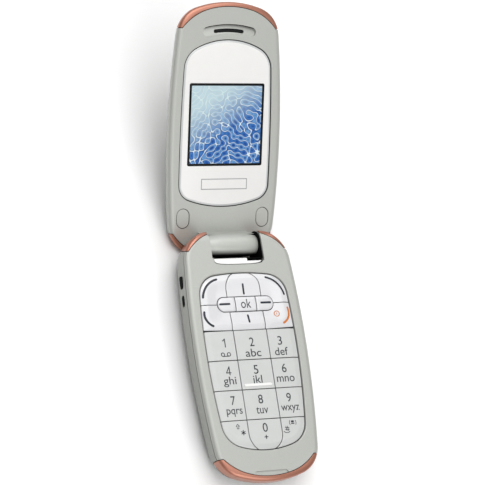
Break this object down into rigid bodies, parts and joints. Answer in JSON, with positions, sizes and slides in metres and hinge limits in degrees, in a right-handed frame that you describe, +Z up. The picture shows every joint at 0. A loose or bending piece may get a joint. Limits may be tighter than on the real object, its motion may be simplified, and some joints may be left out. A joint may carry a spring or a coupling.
{
  "type": "flip phone",
  "caption": "Slim clamshell mobile phone, open, with a rounded keypad half, a display half with a large lens, a round hinge barrel between them and copper-coloured end trims.",
  "frame": {"origin": "middle of the footprint of the open phone, on the surface that it lies on", "axes": "+X to the right of the keypad, +Y from the keypad's foot to the open lid, +Z up out of the keys"},
  "size_m": [0.044, 0.1664, 0.0425],
  "materials": {
    "silver_paint": "satin silver paint on moulded plastic",
    "copper_paint": "copper-coloured metallic paint on moulded plastic",
    "key_plastic": "smooth off-white plastic",
    "number_key_plastic": "smooth pale grey plastic",
    "lens_plastic": "glossy clear sheet printed off-white on its back",
    "display_glass": "lit colour display",
    "dark_plastic": "black plastic",
    "silicone": "grey silicone rubber",
    "circuit_board": "green circuit board",
    "steel": "plain or tinned steel",
    "battery_can": "wrapped lithium cell"
  },
  "bodies": {
    "base": {"base_front_housing": "silver_paint", "base_rear_housing": "silver_paint", "base_foot_trim": "copper_paint", "base_shoulder_trim_left": "copper_paint", "base_shoulder_trim_right": "copper_paint", "battery": "battery_can", "battery_connector": "dark_plastic", "sim_holder": "steel", "keypad_web": "silicone", "dome_sheet": "steel", "main_board": "circuit_board", "shield_can": "steel", "microphone": "steel", "vibration_motor": "steel", "loudspeaker": "dark_plastic", "antenna": "dark_plastic", "charging_socket": "steel", "base_screw_left": "steel", "base_screw_right": "steel"},
    "battery_cover": {"battery_cover": "silver_paint"},
    "lid": {"lid_inner_housing": "silver_paint", "lid_outer_housing": "silver_paint", "lid_tip_trim": "copper_paint", "lid_corner_trim_left": "copper_paint", "lid_corner_trim_right": "copper_paint", "display_lens": "lens_plastic", "display_module": "display_glass", "lid_board": "circuit_board", "earpiece": "dark_plastic", "earpiece_mesh": "dark_plastic", "closing_magnet": "steel", "screw_plug_left": "silver_paint", "screw_plug_right": "silver_paint", "lid_screw_left": "steel", "lid_screw_right": "steel", "hinge_module": "steel", "hinge_sleeve": "dark_plastic", "hinge_flex": "dark_plastic"},
    "softkey_left": {"softkey_left": "key_plastic"},
    "softkey_right": {"softkey_right": "key_plastic"},
    "call_key": {"call_key": "key_plastic"},
    "end_key": {"end_key": "key_plastic"},
    "nav_up": {"nav_up": "key_plastic"},
    "nav_down": {"nav_down": "key_plastic"},
    "nav_left": {"nav_left": "key_plastic"},
    "nav_right": {"nav_right": "key_plastic"},
    "ok_key": {"ok_key": "key_plastic"},
    "key_1": {"key_1": "number_key_plastic"},
    "key_2": {"key_2": "number_key_plastic"},
    "key_3": {"key_3": "number_key_plastic"},
    "key_4": {"key_4": "number_key_plastic"},
    "key_5": {"key_5": "number_key_plastic"},
    "key_6": {"key_6": "number_key_plastic"},
    "key_7": {"key_7": "number_key_plastic"},
    "key_8": {"key_8": "number_key_plastic"},
    "key_9": {"key_9": "number_key_plastic"},
    "key_star": {"key_star": "number_key_plastic"},
    "key_0": {"key_0": "number_key_plastic"},
    "key_hash": {"key_hash": "number_key_plastic"}
  },
  "joints": [
    {"name": "lid_hinge", "type": "hinge", "parent": "base", "child": "lid", "pos_m": [0, 0.00313, 0.00879], "axis": [1, 0, 0], "range_deg": [0, 155.3]},
    {"name": "cover_slide", "type": "slide", "parent": "base", "child": "battery_cover", "axis": [0, -1, 0], "range_m": [0, 0.004]},
    {"name": "softkey_left_press", "type": "slide", "parent": "base", "child": "softkey_left", "axis": [0, 0.048, -0.9988], "range_m": [0, 0.00035], "stiffness_N_per_m": 1500},
    {"name": "softkey_right_press", "type": "slide", "parent": "base", "child": "softkey_right", "axis": [0, 0.048, -0.9988], "range_m": [0, 0.00035], "stiffness_N_per_m": 1500},
    {"name": "call_key_press", "type": "slide", "parent": "base", "child": "call_key", "axis": [0, 0.048, -0.9988], "range_m": [0, 0.00035], "stiffness_N_per_m": 1500},
    {"name": "end_key_press", "type": "slide", "parent": "base", "child": "end_key", "axis": [0, 0.048, -0.9988], "range_m": [0, 0.00035], "stiffness_N_per_m": 1500},
    {"name": "nav_up_press", "type": "slide", "parent": "base", "child": "nav_up", "axis": [0, 0.048, -0.9988], "range_m": [0, 0.00035], "stiffness_N_per_m": 1500},
    {"name": "nav_down_press", "type": "slide", "parent": "base", "child": "nav_down", "axis": [0, 0.048, -0.9988], "range_m": [0, 0.00035], "stiffness_N_per_m": 1500},
    {"name": "nav_left_press", "type": "slide", "parent": "base", "child": "nav_left", "axis": [0, 0.048, -0.9988], "range_m": [0, 0.00035], "stiffness_N_per_m": 1500},
    {"name": "nav_right_press", "type": "slide", "parent": "base", "child": "nav_right", "axis": [0, 0.048, -0.9988], "range_m": [0, 0.00035], "stiffness_N_per_m": 1500},
    {"name": "ok_key_press", "type": "slide", "parent": "base", "child": "ok_key", "axis": [0, 0.048, -0.9988], "range_m": [0, 0.00035], "stiffness_N_per_m": 1500},
    {"name": "key_1_press", "type": "slide", "parent": "base", "child": "key_1", "axis": [0, 0.048, -0.9988], "range_m": [0, 0.00035], "stiffness_N_per_m": 1500},
    {"name": "key_2_press", "type": "slide", "parent": "base", "child": "key_2", "axis": [0, 0.048, -0.9988], "range_m": [0, 0.00035], "stiffness_N_per_m": 1500},
    {"name": "key_3_press", "type": "slide", "parent": "base", "child": "key_3", "axis": [0, 0.048, -0.9988], "range_m": [0, 0.00035], "stiffness_N_per_m": 1500},
    {"name": "key_4_press", "type": "slide", "parent": "base", "child": "key_4", "axis": [0, 0.048, -0.9988], "range_m": [0, 0.00035], "stiffness_N_per_m": 1500},
    {"name": "key_5_press", "type": "slide", "parent": "base", "child": "key_5", "axis": [0, 0.048, -0.9988], "range_m": [0, 0.00035], "stiffness_N_per_m": 1500},
    {"name": "key_6_press", "type": "slide", "parent": "base", "child": "key_6", "axis": [0, 0.048, -0.9988], "range_m": [0, 0.00035], "stiffness_N_per_m": 1500},
    {"name": "key_7_press", "type": "slide", "parent": "base", "child": "key_7", "axis": [0, 0.048, -0.9988], "range_m": [0, 0.00035], "stiffness_N_per_m": 1500},
    {"name": "key_8_press", "type": "slide", "parent": "base", "child": "key_8", "axis": [0, 0.048, -0.9988], "range_m": [0, 0.00035], "stiffness_N_per_m": 1500},
    {"name": "key_9_press", "type": "slide", "parent": "base", "child": "key_9", "axis": [0, 0.048, -0.9988], "range_m": [0, 0.00035], "stiffness_N_per_m": 1500},
    {"name": "key_star_press", "type": "slide", "parent": "base", "child": "key_star", "axis": [0, 0.048, -0.9988], "range_m": [0, 0.00035], "stiffness_N_per_m": 1500},
    {"name": "key_0_press", "type": "slide", "parent": "base", "child": "key_0", "axis": [0, 0.048, -0.9988], "range_m": [0, 0.00035], "stiffness_N_per_m": 1500},
    {"name": "key_hash_press", "type": "slide", "parent": "base", "child": "key_hash", "axis": [0, 0.048, -0.9988], "range_m": [0, 0.00035], "stiffness_N_per_m": 1500}
  ]
}
